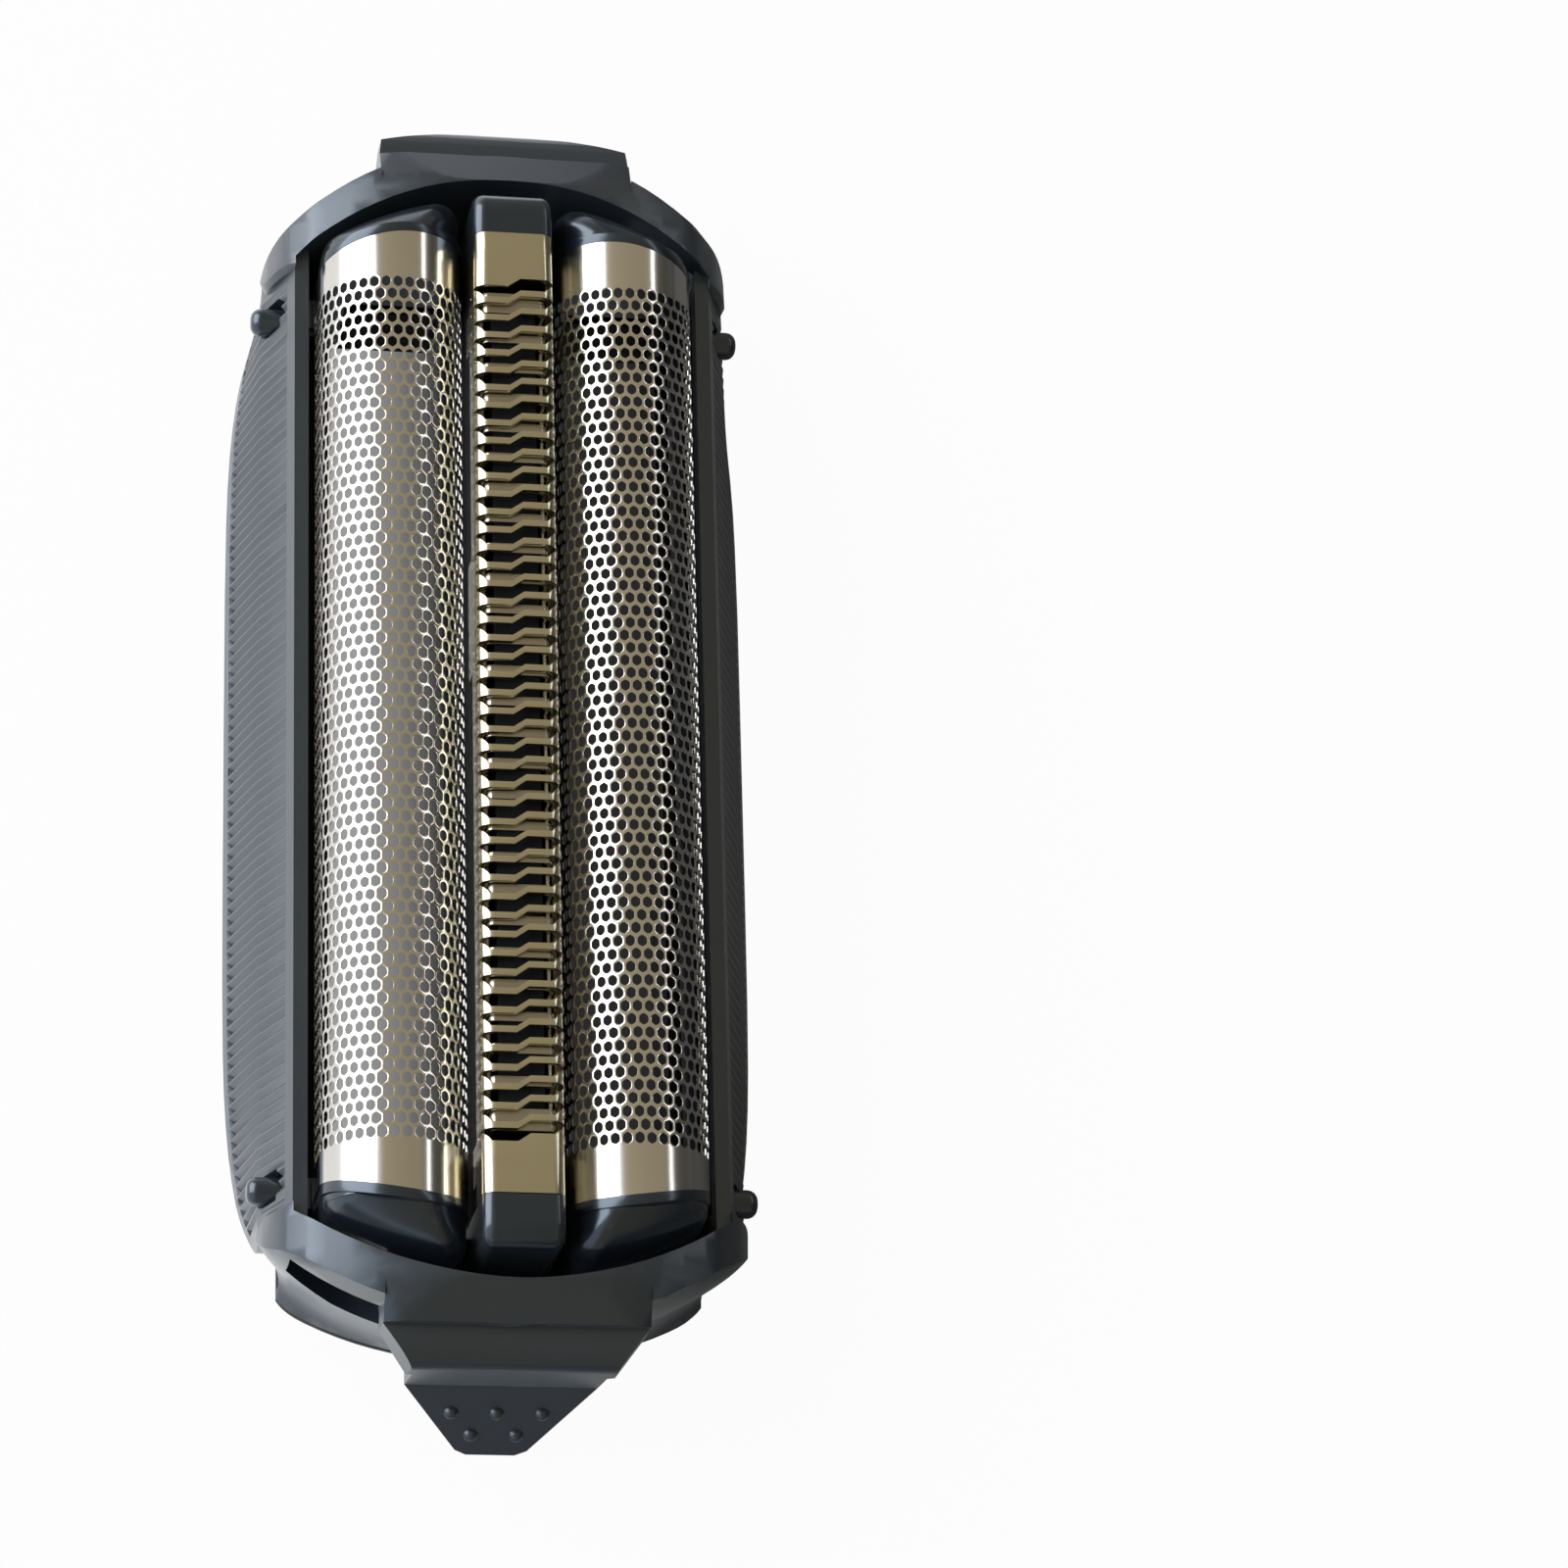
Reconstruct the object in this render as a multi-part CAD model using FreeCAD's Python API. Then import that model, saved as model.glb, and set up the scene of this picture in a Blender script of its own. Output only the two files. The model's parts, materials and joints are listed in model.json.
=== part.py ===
import FreeCAD, Part
import math
import os

# Shaver foil head. X runs across the three cutting lines, Y along them, Z up.
# The origin is the middle of the underside. All sizes are in millimetres.

# Cutting lines: two arched foils with a slotted trimmer between them
foil_radius = 3.15
foil_thickness = 0.12
foil_end_y = 21.95
foil_axis_above_rim = 0.5
foil_float_travel = 1.0
trimmer_half_width = 1.75
trimmer_float_travel = 0.8
trimmer_above_foils = 0.11
trimmer_foil_gap = 0.22
foil_wall_gap = 0.38

# Outer frame: opening and rim
rim_height = 8.3
rim_width = 0.62
corner_beyond_foil = 0.04
apex_beyond_foil = 3.29
skirt_bottom = 0.65

# Flared side walls
wall_beyond_corner = 0.31
wall_bottom_flare = 2.33
wall_bottom_bow = 1.5
wall_middle_height = 4.9
wall_middle_flare = 1.23
wall_middle_bow = 0.1
wall_bow_power = 6.0
wall_corner_radius = 3.0
wall_curve_stations = (-1.0, -0.9, -0.75, -0.5, 0.0, 0.5, 0.75, 0.9, 1.0)

# Grip ribs on the side walls
rib_pitch = 0.506
rib_depth = 0.19
rib_border_top = 0.75
rib_border_bottom = 0.55
rib_border_end = 1.0
rib_overcut = 0.03

# Arched end bands, flaring from the skirt over a hollow waist to the band
band_crown_rise = 2.36
band_slope = 0.13
band_width = 1.66
band_flare = 1.27
band_beyond_corner = 0.25
end_roundness = 0.73
end_root_length = 0.5
end_root_inset = 0.3
skirt_flare = -0.05
skirt_beyond_corner = 1.51
skirt_beyond_apex = 0.86
waist_height = 2.4
waist_flare = 0.24
waist_corner_inset = 1.0
waist_apex_reach = 0.15
shoulder_inset = 0.08
shoulder_apex_reach = 0.45

# Slot in the end wall beside the tongue
end_slot_bottom = 4.7
end_slot_top = 8.2
end_slot_top_fall = 0.45
end_slot_level_run = 1.7
end_slot_tip_rise = 1.2
end_slot_beyond_rim = 0.05
end_slot_behind_neck = 0.35
end_slot_neck_clearance = 0.15

# Release tongues
tongue_half_width = 5.6
tongue_slope = 0.46
tongue_plate_slope = 0.62
tongue_step_drop = 0.5
tongue_roll_drop = 1.0
tongue_roll_steps = 6
tongue_thickness = 0.9
tongue_neck_drop = 0.6
tongue_neck_length = 1.0
upright_reach = 1.69
upright_undercut = 0.5
tab_half_width = 4.12
tab_top = 4.0
tab_tip_half_width = 1.3
tab_tip_reach = 1.5
tab_tip_height = 0.2
tab_tip_corner = 0.25
near_ledge_corner_x = 4.3
far_ledge_corner_x = 5.5
far_ledge_corner_inset = 0.8
bump_radius = 0.34
bump_sink = 0.08
bump_pitch = 1.95
bump_upper_row = 2.47
bump_lower_row = 1.27

# Inner base ring, guide pins and springs
base_flange_inset = 0.05
base_flange_overlap = 0.5
base_fit = 0.1
base_top = 3.9
base_side_width = 1.65
base_end_overlap = 0.4
guide_pin_beyond_comb = 0.95
guide_pin_radius = 0.42
guide_pin_engagement = 1.1
guide_bore_clearance = 0.06
guide_bore_end_gap = 0.4
spring_outer_radius = 0.92
spring_wire_radius = 0.14
spring_wire_sides = 8
spring_turns = 4.5
spring_pressed_height = 1.7

# Foil ends and perforation
foil_flank_below_rim = 2.0
foil_end_peak_x = 3.5
foil_end_radius = 12.65
foil_hole_rows = 24
foil_hole_columns = 5
foil_hole_radius = 0.48
foil_hole_border = 0.5
foil_hole_arc_span = 130.0

# Clamp rails inside the foils
rail_thickness = 0.5
rail_height = 1.1
rail_below_foil = 0.15
rail_end_gap = 0.4

# End blocks of the foils, with a lug and a knob towards the side wall
block_seat_length = 2.25
block_seat_gap = 0.15
block_lip_length = 0.45
block_step = 0.12
block_end_gap = 0.45
block_dome_drop = 2.9
block_dome_start = 0.05
block_dome_edge_radius = 0.9
dome_sweep_angle = 50.0
block_inner_wall = 0.8
block_outer_wall = 1.2
knob_inset = 1.75
knob_above_seat = 1.25
knob_radius = 0.62
knob_edge_radius = 0.45
knob_clearance = 0.08
knob_stands_out = 0.45
lug_half_length = 0.9
lug_above_knob = 0.7
lug_stop_gap = 0.2
lug_side_gap = 0.2
lip_width = 0.55
pocket_end_gap = 0.15

# Slotted comb of the trimmer
comb_thickness = 0.3
comb_beyond_foil = 0.05
comb_height = 2.06
comb_corner_radius = 0.6
comb_slot_pitch = 0.84
comb_slot_width = 0.55
comb_slot_count = 47
comb_slot_border = 0.55
comb_slot_taper = 0.42
comb_slot_tip = 0.1
comb_wave = 0.36
comb_wave_run = 0.15
comb_tab_length = 1.1
comb_tab_spans = [(17.2, 19.0), (1.9, 7.2), (-21.0, -19.3)]

# Inner blade and its carrier
blade_clearance = 0.06
blade_thickness = 0.2
blade_height = 1.35
blade_slot_pitch = 1.42
blade_slot_width = 0.98
blade_slot_count = 26
blade_slot_border = 0.35
blade_end_border = 0.75
blade_travel = 1.0
carrier_end_inset = 1.0
carrier_floor_gap = 0.4
fork_half_width = 0.8
fork_half_length = 1.3
fork_reach = 1.8
fork_slot_half_length = 0.6
fork_slot_height = 2.0

# Trimmer base and end caps
trimmer_base_wall = 0.68
trimmer_base_floor = 1.2
trimmer_base_clearance = 0.12
trimmer_base_end_gap = 0.3
cap_length = 2.2
cap_top_drop = 0.05
cap_corner_radius = 0.5
cap_brow_radius = 1.1

# Places across the head, worked out from the cutting lines outwards
foil_centre_x = trimmer_half_width + trimmer_foil_gap + foil_radius
opening_half_width = foil_centre_x + foil_radius + foil_wall_gap
rim_half_width = opening_half_width + rim_width
wall_middle_half_width = rim_half_width + wall_middle_flare
wall_bottom_half_width = rim_half_width + wall_bottom_flare
band_half_width = rim_half_width + band_flare
skirt_half_width = rim_half_width + skirt_flare
pocket_half_width = opening_half_width + lip_width
base_half_width = pocket_half_width - base_fit
base_inner_half_width = base_half_width - base_side_width
knob_end_x = wall_middle_half_width + knob_stands_out
carrier_half_width = trimmer_half_width - trimmer_base_wall - trimmer_base_clearance
well_half_width = trimmer_half_width - trimmer_base_wall

# Places along the head, worked out from the foil's end
opening_corner_y = foil_end_y + corner_beyond_foil
opening_apex_y = foil_end_y + apex_beyond_foil
wall_end_y = opening_corner_y + wall_beyond_corner
rib_end_y = wall_end_y - rib_border_end
end_blend_start_y = opening_corner_y - end_root_length
skirt_corner_y = opening_corner_y + skirt_beyond_corner
skirt_apex_y = opening_apex_y + skirt_beyond_apex
band_corner_y = opening_corner_y + band_beyond_corner
band_apex_y = opening_apex_y + band_width
upright_y = band_apex_y + upright_reach
tab_root_y = upright_y - upright_undercut
tab_tip_y = upright_y + tab_tip_reach
block_inner_y = foil_end_y - block_seat_length
knob_y = foil_end_y - knob_inset
pocket_half_length = knob_y + lug_half_length + pocket_end_gap
rail_half_length = block_inner_y - rail_end_gap
hole_zone_half_length = block_inner_y - foil_hole_border
comb_half_length = foil_end_y + comb_beyond_foil
cap_end_y = comb_half_length + cap_length
guide_pin_y = comb_half_length + guide_pin_beyond_comb
base_inner_end_y = comb_half_length - base_end_overlap
blade_half_length = blade_slot_pitch * blade_slot_count / 2 + blade_end_border
carrier_half_length = blade_half_length - carrier_end_inset

# Places up the head
crown_height = rim_height + band_crown_rise
tongue_neck_top = rim_height - tongue_neck_drop
foil_axis_height = rim_height + foil_axis_above_rim
foil_flank_bottom = rim_height - foil_flank_below_rim
block_bottom = base_top + block_seat_gap
knob_height = block_bottom + knob_above_seat
lug_top = knob_height + lug_above_knob
pocket_top = lug_top + foil_float_travel + lug_stop_gap
trimmer_top = foil_axis_height + foil_radius + trimmer_above_foils
comb_side_bottom = trimmer_top - comb_height
trimmer_base_bottom = base_top + spring_pressed_height + trimmer_float_travel
blade_top = trimmer_top - comb_thickness - blade_clearance
carrier_bottom = trimmer_base_bottom + trimmer_base_floor + carrier_floor_gap
fork_bottom = trimmer_base_bottom - fork_reach

# Lengths that tools reach past the piece that they cut
overshoot = 1.0
far_off = 20.0


def vec(x, y, z):
    return FreeCAD.Vector(x, y, z)


def block(x0, x1, y0, y1, z0, z1):
    return Part.makeBox(x1 - x0, y1 - y0, z1 - z0, vec(x0, y0, z0))


def centred_block(half_width, half_length, z0, z1):
    return block(-half_width, half_width, -half_length, half_length, z0, z1)


def polygon(points):
    return Part.makePolygon(points + points[:1])


def prism(points, direction):
    return Part.Face(polygon(points)).extrude(direction)


def smooth_curve(points):
    curve = Part.BSplineCurve()
    curve.interpolate(points)
    return curve.toShape()


def rotated_half_turn(shape):
    copy = shape.copy()
    copy.rotate(vec(0, 0, 0), vec(0, 0, 1), 180)
    return copy


def mirrored_x(shape):
    return shape.mirror(vec(0, 0, 0), vec(1, 0, 0))


def mirrored_y(shape):
    return shape.mirror(vec(0, 0, 0), vec(0, 1, 0))


# Outer frame: side walls


def wall_half_width(y, middle, bow):
    # Almost straight in plan, drawn in towards the ends
    return middle - bow * abs(y / wall_end_y) ** wall_bow_power


def wall_section(z, half_width, bow):
    inner = opening_half_width
    outer_points = []
    for station in wall_curve_stations:
        y = station * wall_end_y
        outer_points.append(vec(wall_half_width(y, half_width, bow), y, z))
    near_corner = outer_points[0]
    far_corner = outer_points[-1]
    near_inner = vec(inner, -wall_end_y, z)
    far_inner = vec(inner, wall_end_y, z)
    edges = [
        Part.makeLine(near_inner, near_corner),
        smooth_curve(outer_points),
        Part.makeLine(far_corner, far_inner),
        Part.makeLine(far_inner, near_inner),
    ]
    return Part.Wire(edges)


def side_wall():
    sections = [
        wall_section(skirt_bottom, wall_bottom_half_width, wall_bottom_bow),
        wall_section(wall_middle_height, wall_middle_half_width, wall_middle_bow),
        wall_section(rim_height, rim_half_width, 0),
    ]
    wall = Part.makeLoft(sections, True, True)
    for end in (-1, 1):
        wall = wall.cut(wall_corner_tool(end, wall_corner_radius))
    return wall


def wall_corner_tool(end, keep_radius):
    # What lies below the rounded lower corner of a side wall, outside the radius that is kept
    radius = wall_corner_radius
    x0 = skirt_half_width
    length = wall_bottom_half_width - x0 + overshoot
    centre_y = end * (wall_end_y - radius)
    y0 = min(centre_y, centre_y + end * (radius + overshoot))
    corner = block(
        x0,
        x0 + length,
        y0,
        y0 + radius + overshoot,
        skirt_bottom - overshoot,
        skirt_bottom + radius,
    )
    centre = vec(x0, centre_y, skirt_bottom + radius)
    return corner.cut(Part.makeCylinder(keep_radius, length, centre, vec(1, 0, 0)))


def wall_width_at(z):
    # Half width and bow of the wall's outside at any height, between the three sections
    if z <= wall_middle_height:
        share = (z - skirt_bottom) / (wall_middle_height - skirt_bottom)
        low = (wall_bottom_half_width, wall_bottom_bow)
        high = (wall_middle_half_width, wall_middle_bow)
    else:
        share = (z - wall_middle_height) / (rim_height - wall_middle_height)
        low = (wall_middle_half_width, wall_middle_bow)
        high = (rim_half_width, 0)
    half_width = low[0] + share * (high[0] - low[0])
    bow = low[1] + share * (high[1] - low[1])
    return half_width, bow


def rib_wire(z):
    # Zigzag line of the grip ribs at one height, closed outside the wall
    half_width, bow = wall_width_at(z)
    outside = half_width + overshoot
    count = int(round(2 * rib_end_y / rib_pitch))
    start_y = -count * rib_pitch / 2
    points = []
    for step in range(count):
        y = start_y + step * rib_pitch
        crest = wall_half_width(y, half_width, bow) + rib_overcut
        valley_y = y + rib_pitch / 2
        valley = wall_half_width(valley_y, half_width, bow) - rib_depth
        points.append(vec(crest, y, z))
        points.append(vec(valley, valley_y, z))
    last_crest = wall_half_width(-start_y, half_width, bow) + rib_overcut
    points.append(vec(last_crest, -start_y, z))
    points.append(vec(outside, -start_y, z))
    points.append(vec(outside, start_y, z))
    return polygon(points)


def rib_tool():
    bottom = skirt_bottom + rib_border_bottom
    top = rim_height - rib_border_top
    wires = [rib_wire(z) for z in (bottom, wall_middle_height, top)]
    tool = Part.makeLoft(wires, True, True)
    for end in (-1, 1):
        tool = tool.cut(wall_corner_tool(end, wall_corner_radius - rib_border_bottom))
    return tool


# Outer frame: ends


def end_section(z, root_x, corner_x, corner_y, apex_y):
    # Plan outline of the far end at one height, closed by a straight back
    shares = (1.0, 0.97, 0.85, 0.6, 0.3, 0.0, -0.3, -0.6, -0.85, -0.97, -1.0)
    points = []
    for share in shares:
        reach = (1 - share * share) ** end_roundness
        points.append(vec(corner_x * share, corner_y + (apex_y - corner_y) * reach, z))
    right_root = vec(root_x, end_blend_start_y, z)
    left_root = vec(-root_x, end_blend_start_y, z)
    edges = [
        Part.makeLine(right_root, points[0]),
        smooth_curve(points),
        Part.makeLine(points[-1], left_root),
        Part.makeLine(left_root, right_root),
    ]
    return Part.Wire(edges)


def end_body():
    # The skirt, the waist, the shoulder at the wall's middle, the rim and past the crown
    levels = [
        (
            skirt_bottom,
            skirt_half_width - end_root_inset,
            skirt_half_width,
            skirt_corner_y,
            skirt_apex_y,
        ),
        (
            waist_height,
            skirt_half_width + waist_flare - end_root_inset,
            skirt_half_width + waist_flare,
            skirt_corner_y - waist_corner_inset,
            skirt_apex_y + waist_apex_reach,
        ),
        (
            wall_middle_height,
            wall_middle_half_width - end_root_inset,
            band_half_width - shoulder_inset,
            band_corner_y,
            skirt_apex_y + shoulder_apex_reach,
        ),
        (rim_height, rim_half_width, band_half_width, band_corner_y, band_apex_y),
        (crown_height + overshoot, rim_half_width, band_half_width, band_corner_y, band_apex_y),
    ]
    sections = [end_section(*level) for level in levels]
    return Part.makeLoft(sections, True, False)


def roof_curve(y, lift):
    # Arch of the end band seen from the end: share of the band's half width, drop from the crown
    half = [
        (0.0, 0.0),
        (0.285, 0.05),
        (0.475, 0.39),
        (0.665, 1.0),
        (0.76, 1.43),
        (0.805, 1.67),
        (0.855, 2.17),
        (0.9, 2.68),
        (0.95, 3.7),
        (1.0, 6.15),
        (1.02, 9.3),
    ]
    crown = crown_height + lift
    points = [vec(-share * band_half_width, y, crown - drop) for share, drop in reversed(half[1:])]
    points += [vec(share * band_half_width, y, crown - drop) for share, drop in half]
    return points


def roof_prism(slope, start_y, length):
    # Everything below the arch, which falls outwards by the slope and is true at the opening
    points = roof_curve(start_y, slope * (opening_apex_y - start_y))
    low_left = vec(points[0].x, start_y, -far_off)
    low_right = vec(points[-1].x, start_y, -far_off)
    edges = [
        smooth_curve(points),
        Part.makeLine(points[-1], low_right),
        Part.makeLine(low_right, low_left),
        Part.makeLine(low_left, points[0]),
    ]
    face = Part.Face(Part.Wire(edges))
    return face.extrude(vec(0, length, -slope * length))


def end_circle_radius():
    # The opening's end is an arc through both corners and the apex
    sagitta = opening_apex_y - opening_corner_y
    return (rim_half_width ** 2 + sagitta ** 2) / (2 * sagitta)


def opening_outline(half_width, z):
    # Straight sides joined by one arc at each end, all on the opening's own end circle
    radius = end_circle_radius()
    centre_y = opening_apex_y - radius
    corner_y = centre_y + math.sqrt(radius ** 2 - half_width ** 2)
    far_arc = Part.Arc(
        vec(half_width, corner_y, z), vec(0, opening_apex_y, z), vec(-half_width, corner_y, z)
    )
    near_arc = Part.Arc(
        vec(-half_width, -corner_y, z), vec(0, -opening_apex_y, z), vec(half_width, -corner_y, z)
    )
    edges = [
        Part.makeLine(vec(half_width, -corner_y, z), vec(half_width, corner_y, z)),
        far_arc.toShape(),
        Part.makeLine(vec(-half_width, corner_y, z), vec(-half_width, -corner_y, z)),
        near_arc.toShape(),
    ]
    return Part.Wire(edges)


def opening_prism(half_width, bottom, top, inset):
    face = Part.Face(opening_outline(half_width, bottom))
    if inset > 0:
        face = Part.Face(face.OuterWire.makeOffset2D(-inset))
    return face.extrude(vec(0, 0, top - bottom))


def frame_cavity():
    # The opening, the wider rim recess above it and the pocket behind the lip
    top = crown_height + overshoot
    through = opening_prism(opening_half_width, -overshoot, top, 0)
    above_rim = opening_prism(rim_half_width, rim_height, top, 0)
    pocket = centred_block(pocket_half_width, pocket_half_length, -overshoot, pocket_top)
    return through.fuse([above_rim, pocket])


def knob_slot(side, end):
    # Upright slot in the side wall in which a knob of the foil unit rises and falls
    radius = knob_radius + knob_clearance
    length = wall_bottom_half_width - opening_half_width + overshoot
    y = end * knob_y
    low = knob_height
    high = knob_height + foil_float_travel
    foot = vec(opening_half_width, y, low)
    head = vec(opening_half_width, y, high)
    lower = Part.makeCylinder(radius, length, foot, vec(1, 0, 0))
    upper = Part.makeCylinder(radius, length, head, vec(1, 0, 0))
    middle = block(
        opening_half_width, opening_half_width + length, y - radius, y + radius, low, high
    )
    slot = lower.fuse([upper, middle])
    if side < 0:
        slot = mirrored_x(slot)
    return slot


def end_slot():
    # Window of the near end wall beside the tongue, which ends behind the tongue's neck
    inner = -tongue_half_width
    outer = -rim_half_width - end_slot_beyond_rim
    behind_neck = inner + end_slot_behind_neck
    neck = tongue_neck_top - end_slot_neck_clearance
    points = [
        vec(behind_neck, 0, end_slot_bottom),
        vec(inner - end_slot_level_run, 0, end_slot_bottom),
        vec(outer, 0, end_slot_bottom + end_slot_tip_rise),
        vec(outer, 0, end_slot_top - end_slot_top_fall),
        vec(inner, 0, end_slot_top),
        vec(inner, 0, neck),
        vec(behind_neck, 0, neck - end_slot_behind_neck),
    ]
    tool = prism(points, vec(0, -far_off - band_apex_y, 0))
    return tool.cut(block(-far_off, far_off, -opening_corner_y, overshoot, 0, far_off))


# Outer frame: release tongues


def tongue_profile():
    # Side view of the far tongue: plate, step, rolled ledge, undercut upright and sloping tab
    plate_edge = crown_height - tongue_plate_slope * band_width
    roll_top = plate_edge - tongue_step_drop
    roll_foot = roll_top - tongue_roll_drop
    back = tongue_thickness
    points = [
        vec(0, opening_apex_y, crown_height),
        vec(0, band_apex_y, plate_edge),
    ]
    for step in range(tongue_roll_steps + 1):
        turn = math.radians(90.0 * step / tongue_roll_steps)
        y = band_apex_y + upright_reach * math.sin(turn)
        points.append(vec(0, y, roll_foot + tongue_roll_drop * math.cos(turn)))
    return points + [
        vec(0, tab_root_y, tab_top),
        vec(0, tab_tip_y, tab_tip_height),
        vec(0, tab_tip_y - back, tab_tip_height),
        vec(0, tab_root_y - back, tab_top),
        vec(0, upright_y - back, roll_foot - back),
        vec(0, opening_apex_y, roll_foot - back),
    ]


def tongue_front():
    # Front view: wide at the band, straight tab below it, tapered to a narrow tip
    neck_bottom = tongue_neck_top - tongue_neck_length
    tip = tab_tip_half_width
    corner = tab_tip_corner
    right = [
        vec(tip - corner, 0, tab_tip_height),
        vec(tip + corner, 0, tab_tip_height + corner),
        vec(tab_half_width, 0, tab_top),
        vec(tab_half_width, 0, neck_bottom),
        vec(tongue_half_width, 0, tongue_neck_top),
        vec(tongue_half_width, 0, far_off),
    ]
    left = [vec(-point.x, 0, point.z) for point in reversed(right)]
    return right + left


def tongue_plan(corner_x, corner_y, middle_y):
    # Top view: straight sides, in to the ledge's corner, bowed end, and the tab below it
    side = tongue_half_width
    start = opening_apex_y - overshoot
    right_corner = vec(corner_x, corner_y, tab_top)
    left_corner = vec(-corner_x, corner_y, tab_top)
    edges = [
        Part.makeLine(vec(-side, start, tab_top), vec(side, start, tab_top)),
        Part.makeLine(vec(side, start, tab_top), vec(side, band_apex_y, tab_top)),
        Part.makeLine(vec(side, band_apex_y, tab_top), right_corner),
        Part.Arc(right_corner, vec(0, middle_y, tab_top), left_corner).toShape(),
        Part.makeLine(left_corner, vec(-side, band_apex_y, tab_top)),
        Part.makeLine(vec(-side, band_apex_y, tab_top), vec(-side, start, tab_top)),
    ]
    upper = Part.Face(Part.Wire(edges)).extrude(vec(0, 0, far_off))
    lower = block(
        -tab_half_width, tab_half_width, start, tab_tip_y + overshoot, -overshoot, tab_top
    )
    return upper.fuse(lower)


def tab_bumps():
    # Five raised dots on the tab for the finger tip
    rise = tab_top - tab_tip_height
    dots = []
    for height, places in ((bump_upper_row, (-1, 0, 1)), (bump_lower_row, (-0.5, 0.5))):
        y = tab_root_y + (tab_tip_y - tab_root_y) * (tab_top - height) / rise
        for place in places:
            centre = vec(place * bump_pitch, y - bump_sink, height)
            dots.append(Part.makeSphere(bump_radius, centre))
    return dots


def tongue(corner_x, corner_y, middle_y):
    side_view = prism(tongue_profile(), vec(2 * tongue_half_width, 0, 0))
    side_view.translate(vec(-tongue_half_width, 0, 0))
    front = prism(tongue_front(), vec(0, tab_tip_y + overshoot, 0))
    shape = side_view.common(front).common(tongue_plan(corner_x, corner_y, middle_y))
    shape = shape.common(roof_prism(tongue_slope, opening_apex_y, far_off))
    return shape.fuse(tab_bumps())


def below_plate():
    # Everything below the tongue's flat plate, whose slope goes through the opening's apex
    start = end_blend_start_y
    end = band_apex_y + overshoot
    points = [
        vec(0, start, crown_height + tongue_plate_slope * (opening_apex_y - start)),
        vec(0, end, crown_height - tongue_plate_slope * (end - opening_apex_y)),
        vec(0, end, -far_off),
        vec(0, start, -far_off),
    ]
    shape = prism(points, vec(2 * far_off, 0, 0))
    shape.translate(vec(-far_off, 0, 0))
    return shape


def band_end():
    # End of the frame under the arched band, which runs into the tongue's plate in the middle
    shape = end_body().common(roof_prism(band_slope, end_blend_start_y, far_off))
    half = tongue_half_width
    above = block(-half, half, end_blend_start_y, band_apex_y + overshoot, 0, far_off)
    plate = roof_prism(tongue_slope, end_blend_start_y, 2 * far_off).common(below_plate())
    return shape.cut(above.cut(plate))


def outer_frame():
    right_wall = side_wall().cut(rib_tool())
    ring_end = band_end()
    far_corner_y = upright_y - far_ledge_corner_inset
    far_tongue = tongue(far_ledge_corner_x, far_corner_y, upright_y)
    near_tongue = mirrored_y(tongue(near_ledge_corner_x, upright_y, upright_y + overshoot))
    parts = [mirrored_x(right_wall), ring_end, mirrored_y(ring_end), far_tongue, near_tongue]
    frame = right_wall.fuse(parts)
    cuts = [frame_cavity(), end_slot(), rotated_half_turn(end_slot())]
    for side in (-1, 1):
        for end in (-1, 1):
            cuts.append(knob_slot(side, end))
    return frame.cut(cuts).removeSplitter()


# Foils


def foil_edge_y(x):
    # Curved end of the foil in plan, which follows the oval of the frame
    return foil_end_y - (x - foil_end_peak_x) ** 2 / (2 * foil_end_radius)


def foil_plan():
    # Prism that keeps the foil inside its two curved ends
    x0 = foil_centre_x - foil_radius - overshoot
    x1 = foil_centre_x + foil_radius + overshoot
    middle = foil_centre_x
    far = Part.Arc(
        vec(x1, foil_edge_y(x1), 0),
        vec(middle, foil_edge_y(middle), 0),
        vec(x0, foil_edge_y(x0), 0),
    )
    near = Part.Arc(
        vec(x0, -foil_edge_y(x0), 0),
        vec(middle, -foil_edge_y(middle), 0),
        vec(x1, -foil_edge_y(x1), 0),
    )
    edges = [
        far.toShape(),
        Part.makeLine(vec(x0, foil_edge_y(x0), 0), vec(x0, -foil_edge_y(x0), 0)),
        near.toShape(),
        Part.makeLine(vec(x1, -foil_edge_y(x1), 0), vec(x1, foil_edge_y(x1), 0)),
    ]
    return Part.Face(Part.Wire(edges)).extrude(vec(0, 0, far_off))


def arch_prism(radius, bottom, y0, y1):
    # Upside-down U: half cylinder on top, straight flanks below
    x = foil_centre_x
    z = foil_axis_height
    left = vec(x - radius, y0, z)
    right = vec(x + radius, y0, z)
    low_left = vec(x - radius, y0, bottom)
    low_right = vec(x + radius, y0, bottom)
    edges = [
        Part.Arc(left, vec(x, y0, z + radius), right).toShape(),
        Part.makeLine(right, low_right),
        Part.makeLine(low_right, low_left),
        Part.makeLine(low_left, left),
    ]
    return Part.Face(Part.Wire(edges)).extrude(vec(0, y1 - y0, 0))


def hole_tool(y, angle):
    # One six-sided hole, square to the sheet
    inner = foil_radius - 2 * foil_thickness
    points = []
    for corner in range(6):
        turn = math.radians(60 * corner)
        across = foil_hole_radius * math.cos(turn)
        along = foil_hole_radius * math.sin(turn)
        points.append(vec(across, y + along, inner))
    tool = prism(points, vec(0, 0, 3 * foil_thickness))
    tool.rotate(vec(0, 0, 0), vec(0, 1, 0), angle)
    tool.translate(vec(foil_centre_x, 0, foil_axis_height))
    return tool


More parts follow.
